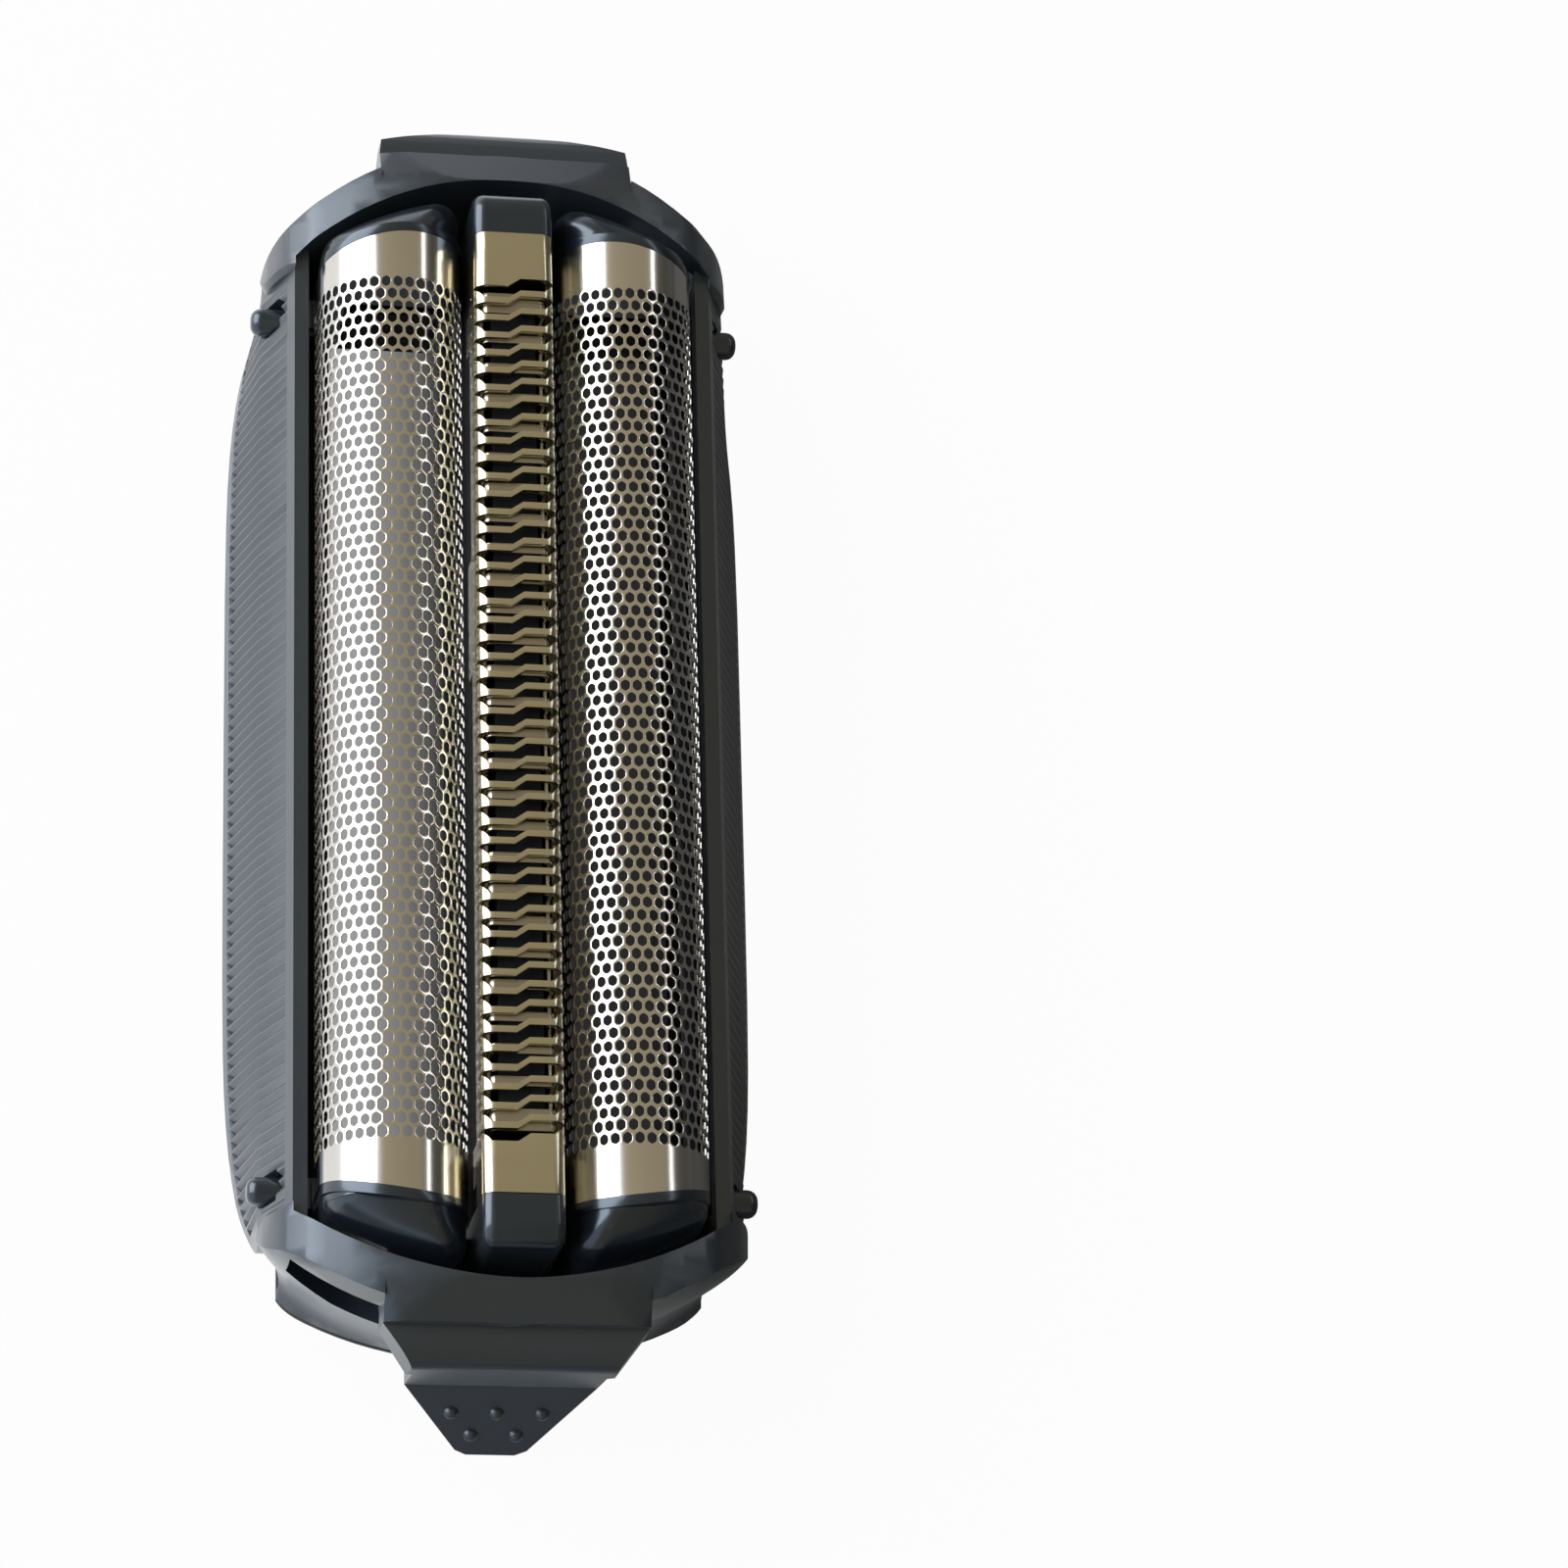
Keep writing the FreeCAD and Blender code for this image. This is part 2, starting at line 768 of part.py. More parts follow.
def foil_holes():
    # Enlarged sample of the perforation, every second row shifted by half a column
    tools = []
    row_step = 2 * hole_zone_half_length / foil_hole_rows
    column_step = foil_hole_arc_span / foil_hole_columns
    for row in range(foil_hole_rows):
        y = -hole_zone_half_length + (row + 0.5) * row_step
        shift = 0.25 if row % 2 else -0.25
        for column in range(foil_hole_columns):
            angle = (column - (foil_hole_columns - 1) / 2 + shift) * column_step
            tools.append(hole_tool(y, angle))
    return tools


def foil():
    inner_radius = foil_radius - foil_thickness
    reach = foil_end_y + overshoot
    outside = arch_prism(foil_radius, foil_flank_bottom, -reach, reach)
    inside = arch_prism(
        inner_radius, foil_flank_bottom - overshoot, -reach - overshoot, reach + overshoot
    )
    return outside.cut(inside).common(foil_plan()).cut(foil_holes())


def clamp_rail(side):
    # Straight strip that holds one long edge of the foil from inside
    face = foil_radius - foil_thickness
    outer = foil_centre_x + side * face
    inner = foil_centre_x + side * (face - rail_thickness)
    x0 = min(outer, inner)
    x1 = max(outer, inner)
    z0 = foil_flank_bottom - rail_below_foil
    return block(x0, x1, -rail_half_length, rail_half_length, z0, z0 + rail_height)


# End blocks of the foils


def end_block():
    # Far end block of the right foil: dome beyond the foil, seat inside it, lug and knob outside
    seat = arch_prism(foil_radius - foil_thickness, block_bottom, block_inner_y, foil_end_y)
    lug = block(
        foil_centre_x,
        pocket_half_width - lug_side_gap,
        knob_y - lug_half_length / 2,
        knob_y + lug_half_length,
        block_bottom,
        lug_top,
    )
    shape = seat.fuse([block_dome(), lug, block_knob()])
    return shape.cut(block_hollow()).removeSplitter()


def block_knob():
    length = knob_end_x - foil_centre_x
    foot = vec(foil_centre_x, knob_y, knob_height)
    knob = Part.makeCylinder(knob_radius, length, foot, vec(1, 0, 0))
    tip_edges = []
    for edge in knob.Edges:
        if edge.BoundBox.XMin > foil_centre_x + length / 2:
            tip_edges.append(edge)
    return knob.makeFillet(knob_edge_radius, tip_edges)


def block_hollow():
    # Underside of the block, open downwards and inwards so that the walls stay thin
    x0 = foil_centre_x - foil_radius + block_inner_wall
    x1 = foil_centre_x + foil_radius - block_outer_wall
    y0 = block_inner_y - overshoot
    y1 = foil_end_y + block_lip_length
    return block(x0, x1, y0, y1, block_bottom - overshoot, foil_axis_height)


def block_dome():
    # A lip flush with the foil, then a dome one small step lower, both beyond the foil's end
    start = block_inner_y
    lip_plan = foil_plan()
    lip_plan.translate(vec(0, block_lip_length, 0))
    lip = arch_prism(foil_radius, block_bottom, start, opening_apex_y).common(lip_plan)
    dome_radius = foil_radius - block_step
    dome = arch_prism(dome_radius, block_bottom, start, opening_apex_y).common(dome_sweep())
    crease = []
    for edge in dome.Edges:
        box = edge.BoundBox
        if box.YMin > start + overshoot and box.ZMin > block_bottom:
            crease.append(edge)
    dome = dome.makeFillet(block_dome_edge_radius, crease)
    shape = lip.fuse(dome)
    shape = shape.common(opening_prism(opening_half_width, 0, far_off, block_end_gap))
    return shape.cut(foil_plan())


def dome_sweep():
    # Quarter ellipse that sinks towards the band, swept round the opening's end circle
    top = foil_axis_height + foil_radius - block_step
    start = foil_end_y + block_dome_start
    end = opening_apex_y - block_end_gap
    foot = top - block_dome_drop
    back = block_inner_y - overshoot
    turn = math.radians(45)
    middle = vec(0, start + (end - start) * math.sin(turn), foot + block_dome_drop * math.cos(turn))
    corners = [
        vec(0, end, foot),
        vec(0, end, block_bottom),
        vec(0, back, block_bottom),
        vec(0, back, top),
        vec(0, start, top),
    ]
    edges = [Part.Arc(corners[-1], middle, corners[0]).toShape()]
    for low, high in zip(corners, corners[1:]):
        edges.append(Part.makeLine(low, high))
    profile = Part.Face(Part.Wire(edges))
    centre = vec(0, opening_apex_y - end_circle_radius(), 0)
    return profile.revolve(centre, vec(0, 0, 1), -dome_sweep_angle)


# Slotted trimmer


def channel(half_width, top, bottom, thickness, half_length, radius):
    # Upside-down channel of thin steel with rounded upper corners
    outer = centred_block(half_width, half_length, bottom, top)
    inner = centred_block(
        half_width - thickness, half_length + overshoot, bottom - overshoot, top - thickness
    )
    outer = rounded_top(outer, radius, top)
    inner = rounded_top(inner, radius - thickness, top - thickness)
    return outer.cut(inner)


def rounded_top(shape, radius, top):
    long_edges = []
    for edge in shape.Edges:
        box = edge.BoundBox
        on_top = box.ZMax > top - radius / 2 and box.ZMin > top - radius / 2
        if on_top and box.YLength > box.XLength:
            long_edges.append(edge)
    return shape.makeFillet(radius, long_edges)


def wave_slot(y, bottom):
    # One slot across the comb, stepped in the middle and narrowed on both shoulders
    low = y - comb_wave / 2
    high = y + comb_wave / 2
    bend = trimmer_half_width * comb_wave_run
    half = comb_slot_width / 2
    edge = trimmer_half_width
    reach = edge + overshoot
    points = [
        vec(-reach, low + half - comb_slot_tip, bottom),
        vec(-edge, low + half - comb_slot_tip, bottom),
        vec(-edge + comb_slot_taper, low - half, bottom),
        vec(-bend, low - half, bottom),
        vec(bend, high - half, bottom),
        vec(edge - comb_slot_taper, high - half, bottom),
        vec(edge, high + half - comb_slot_tip, bottom),
        vec(reach, high + half - comb_slot_tip, bottom),
        vec(reach, high + half, bottom),
        vec(bend, high + half, bottom),
        vec(-bend, low + half, bottom),
        vec(-reach, low + half, bottom),
    ]
    return prism(points, vec(0, 0, comb_height))


def comb_tabs(top):
    # Clip tabs of the comb that fold down into the trimmer base
    tabs = []
    bottom = comb_side_bottom - comb_tab_length
    for side in (-1, 1):
        outer = side * trimmer_half_width
        inner = side * (trimmer_half_width - comb_thickness)
        x0 = min(outer, inner)
        x1 = max(outer, inner)
        for low_y, high_y in comb_tab_spans:
            tabs.append(block(x0, x1, low_y, high_y, bottom, top))
    return tabs


def trimmer_comb():
    comb = channel(
        trimmer_half_width,
        trimmer_top,
        comb_side_bottom,
        comb_thickness,
        comb_half_length,
        comb_corner_radius,
    )
    comb = comb.fuse(comb_tabs(comb_side_bottom + comb_thickness))
    slots = []
    for index in range(comb_slot_count):
        y = (index - (comb_slot_count - 1) / 2) * comb_slot_pitch
        slots.append(wave_slot(y, comb_side_bottom + comb_slot_border))
    return comb.cut(slots).removeSplitter()


def trimmer_base():
    # Channel block under the comb, with a well for the carrier and a window for its fork
    base = centred_block(
        trimmer_half_width, comb_half_length, trimmer_base_bottom, comb_side_bottom
    )
    well = centred_block(
        well_half_width,
        carrier_half_length + blade_travel + trimmer_base_end_gap,
        trimmer_base_bottom + trimmer_base_floor,
        comb_side_bottom + overshoot,
    )
    window = centred_block(
        well_half_width,
        fork_half_length + blade_travel + trimmer_base_end_gap,
        trimmer_base_bottom - overshoot,
        comb_side_bottom,
    )
    return base.cut([well, window] + comb_tabs(comb_side_bottom))


def trimmer_blade():
    half_width = trimmer_half_width - comb_thickness - blade_clearance
    bottom = blade_top - blade_height
    blade = channel(
        half_width,
        blade_top,
        bottom,
        blade_thickness,
        blade_half_length,
        comb_corner_radius - comb_thickness,
    )
    slots = []
    for index in range(blade_slot_count):
        y = (index - (blade_slot_count - 1) / 2) * blade_slot_pitch
        slots.append(
            block(
                -trimmer_half_width,
                trimmer_half_width,
                y - blade_slot_width / 2,
                y + blade_slot_width / 2,
                bottom + blade_slot_border,
                trimmer_top,
            )
        )
    return blade.cut(slots)


def blade_carrier():
    # Bar that pushes the blade, with a forked leg for the drive pin
    bar = centred_block(
        carrier_half_width, carrier_half_length, carrier_bottom, blade_top - blade_thickness
    )
    leg = centred_block(
        fork_half_width, fork_half_length, fork_bottom, carrier_bottom + comb_thickness
    )
    notch = centred_block(
        trimmer_half_width,
        fork_slot_half_length,
        fork_bottom - overshoot,
        fork_bottom + fork_slot_height,
    )
    return bar.fuse(leg).cut(notch).removeSplitter()


def trimmer_cap():
    # Far end cap: closes the comb and slides on the guide pin of the base
    half = trimmer_half_width
    top = trimmer_top - cap_top_drop
    cap = block(-half, half, comb_half_length, cap_end_y, trimmer_base_bottom, top)
    brow = [edge for edge in cap.Edges if edge.BoundBox.ZMin > top - cap_top_drop
            and edge.BoundBox.YMin > cap_end_y - cap_top_drop]
    cap = cap.makeFillet(cap_brow_radius, brow)
    sides = []
    for edge in cap.Edges:
        box = edge.BoundBox
        on_side = box.XLength < cap_top_drop and box.ZMin > trimmer_base_bottom + cap_top_drop
        at_joint = box.YMax < comb_half_length + cap_top_drop
        upright = box.ZLength > cap_length and box.YMin > cap_end_y - cap_top_drop
        if (on_side and not at_joint) or upright:
            sides.append(edge)
    cap = cap.makeFillet(cap_corner_radius, sides)
    bore_depth = guide_pin_engagement + trimmer_float_travel + guide_bore_end_gap
    bore = Part.makeCylinder(
        guide_pin_radius + guide_bore_clearance,
        bore_depth,
        vec(0, guide_pin_y, trimmer_base_bottom),
    )
    return cap.cut(bore)


# Inner base ring and springs


def inner_base():
    # Flange under the skirt, upstand inside the frame, end bars and guide pins
    ring = opening_prism(opening_half_width, skirt_bottom, base_top, base_fit)
    sides = centred_block(base_half_width, pocket_half_length - base_fit, skirt_bottom, base_top)
    hole = centred_block(
        base_inner_half_width, base_inner_end_y, -overshoot, base_top + overshoot
    )
    body = base_flange().fuse([ring, sides]).cut(hole)
    pins = []
    pin_top = trimmer_base_bottom + guide_pin_engagement
    for end in (-1, 1):
        foot = vec(0, end * guide_pin_y, base_flange_overlap)
        pins.append(Part.makeCylinder(guide_pin_radius, pin_top - base_flange_overlap, foot))
    return body.fuse(pins).removeSplitter()


def base_flange():
    half_width = skirt_half_width - base_flange_inset
    far = end_section(
        0,
        half_width,
        half_width,
        skirt_corner_y - base_flange_inset,
        skirt_apex_y - base_flange_inset,
    )
    far_end = Part.Face(far).extrude(vec(0, 0, skirt_bottom))
    wide = centred_block(
        pocket_half_width + base_flange_overlap,
        wall_end_y - wall_corner_radius - base_flange_overlap,
        0,
        skirt_bottom,
    )
    bridge = centred_block(half_width, end_blend_start_y, 0, skirt_bottom)
    return far_end.fuse([mirrored_y(far_end), wide, bridge])


def spring_wire_outline(mean_radius):
    points = []
    for corner in range(spring_wire_sides):
        turn = 2 * math.pi * corner / spring_wire_sides
        out = mean_radius + spring_wire_radius * math.cos(turn)
        points.append(vec(out, 0, spring_wire_radius * math.sin(turn)))
    return polygon(points)


def coil_spring(end):
    # Stands on the base round the guide pin and carries the trimmer's cap
    mean_radius = spring_outer_radius - spring_wire_radius
    height = trimmer_base_bottom - base_top - 2 * spring_wire_radius
    helix = Part.makeHelix(height / spring_turns, height, mean_radius)
    outline = spring_wire_outline(mean_radius)
    spring = Part.Wire(helix).makePipeShell([outline], True, True)
    spring.translate(vec(0, end * guide_pin_y, base_top + spring_wire_radius))
    return spring


# Nodes


def foil_unit():
    # Pieces of the right foil unit
    far_block = end_block()
    return {
        "foil": foil(),
        "far_end_block": far_block,
        "near_end_block": mirrored_y(far_block),
        "outer_clamp_rail": clamp_rail(1),
        "inner_clamp_rail": clamp_rail(-1),
    }


def write(name, shape):
    shape.exportStep("parts/" + name + ".step")
    solids = len(shape.Solids)
    print(name, "solids", solids, "volume", round(shape.Volume, 3), "valid", shape.isValid())


def main():
    os.makedirs("parts", exist_ok=True)
    write("outer_frame", outer_frame())
    write("inner_base", inner_base())
    for name, piece in foil_unit().items():
        write("right_" + name, piece)
        write("left_" + name, mirrored_x(piece))
    write("trimmer_comb", trimmer_comb())
    write("trimmer_base", trimmer_base())
    write("trimmer_blade", trimmer_blade())
    write("blade_carrier", blade_carrier())
    write("far_trimmer_cap", trimmer_cap())
    write("near_trimmer_cap", mirrored_y(trimmer_cap()))
    write("far_trimmer_spring", coil_spring(1))
    write("near_trimmer_spring", coil_spring(-1))


main()
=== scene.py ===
import json
import math

import bmesh
import bpy
from mathutils import Matrix, Vector

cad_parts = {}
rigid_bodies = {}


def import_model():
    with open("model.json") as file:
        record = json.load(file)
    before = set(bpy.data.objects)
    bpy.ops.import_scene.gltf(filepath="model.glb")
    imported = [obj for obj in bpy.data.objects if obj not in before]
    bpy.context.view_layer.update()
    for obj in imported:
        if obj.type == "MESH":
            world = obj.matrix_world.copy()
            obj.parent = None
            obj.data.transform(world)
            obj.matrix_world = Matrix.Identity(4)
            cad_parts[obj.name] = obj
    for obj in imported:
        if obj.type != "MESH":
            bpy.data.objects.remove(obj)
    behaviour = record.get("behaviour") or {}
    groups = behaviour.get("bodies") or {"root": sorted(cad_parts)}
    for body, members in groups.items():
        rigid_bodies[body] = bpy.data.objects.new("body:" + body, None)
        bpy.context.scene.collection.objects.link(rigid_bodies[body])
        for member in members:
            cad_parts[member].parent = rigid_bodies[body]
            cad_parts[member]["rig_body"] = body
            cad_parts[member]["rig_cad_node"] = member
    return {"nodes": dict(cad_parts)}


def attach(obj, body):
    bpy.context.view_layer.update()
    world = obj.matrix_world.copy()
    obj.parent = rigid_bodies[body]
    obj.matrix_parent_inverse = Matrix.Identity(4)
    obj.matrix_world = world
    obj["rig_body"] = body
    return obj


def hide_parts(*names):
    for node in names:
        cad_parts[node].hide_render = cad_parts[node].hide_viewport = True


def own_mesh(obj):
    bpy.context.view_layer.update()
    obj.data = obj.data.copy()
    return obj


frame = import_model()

for leftover in ("Cube", "Camera", "Light"):
    if leftover in bpy.data.objects:
        bpy.data.objects.remove(bpy.data.objects[leftover])
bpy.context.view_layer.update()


# Outer frame: one satin charcoal moulding with flared side walls, slanted grip ribs,
# arched end bands and a release tongue at each end. The mould leaves every edge a little
# rounded and the skin finely grained, and the edges are painted paler as a highlight.
frame_edge_radius = 0.00006
frame_colour = (0.0075, 0.0115, 0.0205, 1)
frame_pale_colour = (0.0125, 0.0175, 0.029, 1)
frame_edge_highlight_colour = (0.022, 0.027, 0.035, 1)
merge_distance = 0.000002
flat_angle = math.radians(0.5)
rounding_angle = math.radians(32)
smooth_angle = math.radians(34)
widest_highlit_face = 1.2


def rounded_copy(part, piece_name, edge_radius):
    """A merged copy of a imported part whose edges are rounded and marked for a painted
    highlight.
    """
    bpy.ops.object.select_all(action="DESELECT")
    frame["nodes"][part].select_set(True)
    bpy.context.view_layer.objects.active = frame["nodes"][part]
    bpy.ops.object.duplicate()
    piece = bpy.context.object
    piece.name = piece_name
    piece.parent = None
    del piece["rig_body"], piece["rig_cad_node"]
    bpy.ops.object.mode_set(mode="EDIT")
    bpy.ops.mesh.select_all(action="SELECT")
    bpy.ops.mesh.customdata_custom_splitnormals_clear()
    bpy.ops.mesh.remove_doubles(threshold=merge_distance)
    bpy.ops.mesh.dissolve_limited(angle_limit=flat_angle)
    bpy.ops.object.mode_set(mode="OBJECT")
    rounding = piece.modifiers.new("rounded_edges", "BEVEL")
    rounding.width = edge_radius
    rounding.segments = 2
    rounding.limit_method = "ANGLE"
    rounding.angle_limit = rounding_angle
    bpy.ops.object.modifier_apply(modifier=rounding.name)
    bpy.ops.object.shade_smooth_by_angle(angle=smooth_angle)
    flat_faces = piece.modifiers.new("flat_faces", "WEIGHTED_NORMAL")
    flat_faces.keep_sharp = True
    bpy.ops.object.modifier_apply(modifier=flat_faces.name)
    shape = bmesh.new()
    shape.from_mesh(piece.data)
    # Corners that touch only the narrow rounding faces are marked for the painted edge
    # highlight.
    edge_highlight_layer = shape.verts.layers.float.new("painted_edge_highlight")
    for corner in shape.verts:
        widths = [face.calc_area() / max(edge.calc_length() for edge in face.edges)
                  for face in corner.link_faces]
        corner[edge_highlight_layer] = 1.0 if max(widths) < edge_radius * widest_highlit_face else 0.0
    shape.to_mesh(piece.data)
    shape.free()
    return piece


def group_socket(group, name, kind, direction, value=None):
    socket = group.interface.new_socket(name=name, in_out=direction, socket_type=kind)
    if value is not None:
        socket.default_value = value


def math_node(tree, operation, first, second):
    """A Math node whose two inputs are sockets or numbers."""
    node = tree.nodes.new("ShaderNodeMath")
    node.operation = operation
    for index, value in enumerate((first, second)):
        if isinstance(value, bpy.types.NodeSocket):
            tree.links.new(value, node.inputs[index])
        else:
            node.inputs[index].default_value = value
    return node.outputs[0]


def colour_mix(tree, share, first, second):
    """A colour Mix node between two sockets or colours."""
    node = tree.nodes.new("ShaderNodeMix")
    node.data_type = "RGBA"
    tree.links.new(share, node.inputs["Factor"])
    for index, value in ((6, first), (7, second)):
        if isinstance(value, bpy.types.NodeSocket):
            tree.links.new(value, node.inputs[index])
        else:
            node.inputs[index].default_value = value
    return node.outputs[2]


clouding_scale = 170
dust_cell_scale = 620
dust_largest = 0.05
dust_rarity = 0.86
dust_colour = (0.36, 0.37, 0.38, 1)
skin_gloss_spread = 0.14
moulded = bpy.data.node_groups.new("moulded_skin", "ShaderNodeTree")
group_socket(moulded, "Colour", "NodeSocketColor", "INPUT", (0.03, 0.03, 0.04, 1))
group_socket(moulded, "Pale colour", "NodeSocketColor", "INPUT", (0.04, 0.04, 0.05, 1))
group_socket(moulded, "Edge highlight colour", "NodeSocketColor", "INPUT", (0.08, 0.09, 0.1, 1))
group_socket(moulded, "Gloss", "NodeSocketFloat", "INPUT", 0.5)
group_socket(moulded, "Grain scale", "NodeSocketFloat", "INPUT", 9000.0)
group_socket(moulded, "Colour", "NodeSocketColor", "OUTPUT")
group_socket(moulded, "Roughness", "NodeSocketFloat", "OUTPUT")
group_socket(moulded, "Height", "NodeSocketFloat", "OUTPUT")
skin_in = moulded.nodes.new("NodeGroupInput")
skin_out = moulded.nodes.new("NodeGroupOutput")
skin_place = moulded.nodes.new("ShaderNodeTexCoord")
grain = moulded.nodes.new("ShaderNodeTexNoise")
grain.inputs["Detail"].default_value = 3
moulded.links.new(skin_place.outputs["Object"], grain.inputs["Vector"])
moulded.links.new(skin_in.outputs["Grain scale"], grain.inputs["Scale"])
clouding = moulded.nodes.new("ShaderNodeTexNoise")
clouding.inputs["Scale"].default_value = clouding_scale
clouding.inputs["Detail"].default_value = 5
moulded.links.new(skin_place.outputs["Object"], clouding.inputs["Vector"])
dust_cells = moulded.nodes.new("ShaderNodeTexVoronoi")
dust_cells.inputs["Scale"].default_value = dust_cell_scale
moulded.links.new(skin_place.outputs["Object"], dust_cells.inputs["Vector"])
dust_split = moulded.nodes.new("ShaderNodeSeparateColor")
moulded.links.new(dust_cells.outputs["Color"], dust_split.inputs[0])
dust_size = math_node(moulded, "MULTIPLY", dust_split.outputs[1], dust_largest)
dust_near = math_node(moulded, "LESS_THAN", dust_cells.outputs["Distance"], dust_size)
dust_rare = math_node(moulded, "GREATER_THAN", dust_split.outputs[0], dust_rarity)
dust = math_node(moulded, "MULTIPLY", dust_near, dust_rare)
# Paler edges, where the edge mark meets the clouding: a painted highlight along the rounded
# edges.
edge_highlight_mark = moulded.nodes.new("ShaderNodeAttribute")
edge_highlight_mark.attribute_name = "painted_edge_highlight"
edge_highlight_share = math_node(moulded, "MULTIPLY", edge_highlight_mark.outputs["Fac"], clouding.outputs["Fac"])
skin_tone = colour_mix(moulded, clouding.outputs["Fac"], skin_in.outputs["Colour"],
                       skin_in.outputs["Pale colour"])
skin_tone = colour_mix(moulded, edge_highlight_share, skin_tone, skin_in.outputs["Edge highlight colour"])
skin_tone = colour_mix(moulded, dust, skin_tone, dust_colour)
skin_rough = math_node(moulded, "MULTIPLY_ADD", clouding.outputs["Fac"], skin_gloss_spread)
moulded.links.new(skin_in.outputs["Gloss"], skin_rough.node.inputs[2])
skin_rough = math_node(moulded, "MAXIMUM", skin_rough, dust)
moulded.links.new(skin_tone, skin_out.inputs["Colour"])
moulded.links.new(skin_rough, skin_out.inputs["Roughness"])
moulded.links.new(grain.outputs["Fac"], skin_out.inputs["Height"])


plastic_ior = 1.52
sheen_roughness = 0.35
cool_sheen = (0.66, 0.84, 1.0, 1)
cool_mirror = (0.62, 0.80, 1.0, 1)


def moulded_plastic(name, colour, pale_colour, edge_highlight_colour, gloss, grain_scale,
                    grain_depth, grazing_sheen, mirror_level, skin_coat):
    """A plastic whose colour, gloss and grain come from the moulded skin group."""
    material = bpy.data.materials.new(name)
    material.use_nodes = True
    tree = material.node_tree
    shader = tree.nodes["Principled BSDF"]
    shader.inputs["Metallic"].default_value = 0
    shader.inputs["IOR"].default_value = plastic_ior
    shader.inputs["Specular IOR Level"].default_value = mirror_level
    shader.inputs["Coat Weight"].default_value = skin_coat
    shader.inputs["Coat Roughness"].default_value = gloss
    shader.inputs["Sheen Weight"].default_value = grazing_sheen
    shader.inputs["Sheen Roughness"].default_value = sheen_roughness
    shader.inputs["Sheen Tint"].default_value = cool_sheen
    shader.inputs["Specular Tint"].default_value = cool_mirror
    skin = tree.nodes.new("ShaderNodeGroup")
    skin.node_tree = moulded
    skin.inputs["Colour"].default_value = colour
    skin.inputs["Pale colour"].default_value = pale_colour
    skin.inputs["Edge highlight colour"].default_value = edge_highlight_colour
    skin.inputs["Gloss"].default_value = gloss
    skin.inputs["Grain scale"].default_value = grain_scale
    tree.links.new(skin.outputs["Colour"], shader.inputs["Base Color"])
    tree.links.new(skin.outputs["Roughness"], shader.inputs["Roughness"])
    relief = tree.nodes.new("ShaderNodeBump")
    relief.inputs["Strength"].default_value = 1
    relief.inputs["Distance"].default_value = grain_depth
    tree.links.new(skin.outputs["Height"], relief.inputs["Height"])
    tree.links.new(relief.outputs["Normal"], shader.inputs["Normal"])
    return material


def finish_with(piece, material):
    piece.data.materials.clear()
    piece.data.materials.append(material)
    for face in piece.data.polygons:
        face.material_index = 0


charcoal = moulded_plastic("charcoal_moulding", frame_colour, frame_pale_colour,
                           frame_edge_highlight_colour, gloss=0.30, grain_scale=11000,
                           grain_depth=0.000006, grazing_sheen=0.2, mirror_level=0.8,
                           skin_coat=1.0)
outer_frame = rounded_copy("outer_frame", "charcoal_frame", frame_edge_radius)
finish_with(outer_frame, charcoal)
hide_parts("outer_frame")
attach(outer_frame, "frame")


# Inner base: a matt black moulding inside the skirt. Its foot shows as the thin black line
# under the frame, and it carries the float of both foils and of the trimmer.
base_edge_radius = 0.00008
matt_black = moulded_plastic("matt_black_moulding", (0.010, 0.011, 0.012, 1),
                             (0.014, 0.015, 0.017, 1), (0.03, 0.032, 0.035, 1),
                             gloss=0.45, grain_scale=9000, grain_depth=0.000005,
                             grazing_sheen=0.02, mirror_level=0.12, skin_coat=0.0)
inner_base = rounded_copy("inner_base", "black_inner_base", base_edge_radius)
finish_with(inner_base, matt_black)
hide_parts("inner_base")
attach(inner_base, "frame")


# Foils: two thin sheets of bright electroformed steel, bent to an arch. Staggered six-sided
# cells with crowned bars cover the arch and plain bands close its two ends. One cell is
# drawn, repeated, trimmed, joined to the plain strips and bent, and the sheet is copied.
foil_radius = 0.00315
foil_centre_x = 0.00512
foil_axis_height = 0.0088
foil_flank_bottom = 0.0063
foil_sheet = 0.00005
cell_width = 0.0005158
cells_across = 25
row_pitch = 0.00058
row_pairs = 35
hole_half_width = 0.000202
hole_half_height = 0.000262
hole_corner_rounding = 0.3
bar_crown = 0.000018
lattice_half_width = cells_across / 2 * cell_width
lattice_half_length = (row_pairs - 1) * row_pitch
sheet_half_width = math.pi / 2 * foil_radius + foil_axis_height - foil_flank_bottom
band_end_y = 0.02195
band_peak_x = 0.0035
band_end_radius = 0.01265
strip_pieces_along = 12
band_pieces_across = 60
band_pieces_along = 3
same_place = 0.000001

bpy.ops.object.select_all(action="DESELECT")
bpy.ops.mesh.primitive_circle_add(vertices=6, radius=1, location=(0, 0, 0))
cell = bpy.context.object
cell.name = "foil_cell"
bpy.ops.object.mode_set(mode="EDIT")
bpy.ops.mesh.select_all(action="SELECT")
bpy.ops.transform.resize(value=(cell_width / math.sqrt(3), row_pitch / 1.5, 1))
bpy.ops.mesh.subdivide(number_cuts=1)
bpy.ops.mesh.select_all(action="DESELECT")
bpy.ops.mesh.primitive_circle_add(vertices=6, radius=1, location=(0, 0, 0))
bpy.ops.mesh.subdivide(number_cuts=1)
bpy.ops.mesh.vertices_smooth(factor=hole_corner_rounding)
bpy.ops.transform.resize(value=(hole_half_width / math.cos(math.pi / 6),
                                hole_half_height / (1 - hole_corner_rounding / 4), 1))
bpy.ops.transform.translate(value=(0, 0, bar_crown))
bpy.ops.mesh.select_all(action="SELECT")
bpy.ops.mesh.bridge_edge_loops()
bpy.ops.mesh.select_all(action="SELECT")
bpy.ops.transform.translate(value=(-(cells_across - 1) / 2 * cell_width,
                                   -(row_pairs - 0.5) * row_pitch, 0))
bpy.ops.object.mode_set(mode="OBJECT")

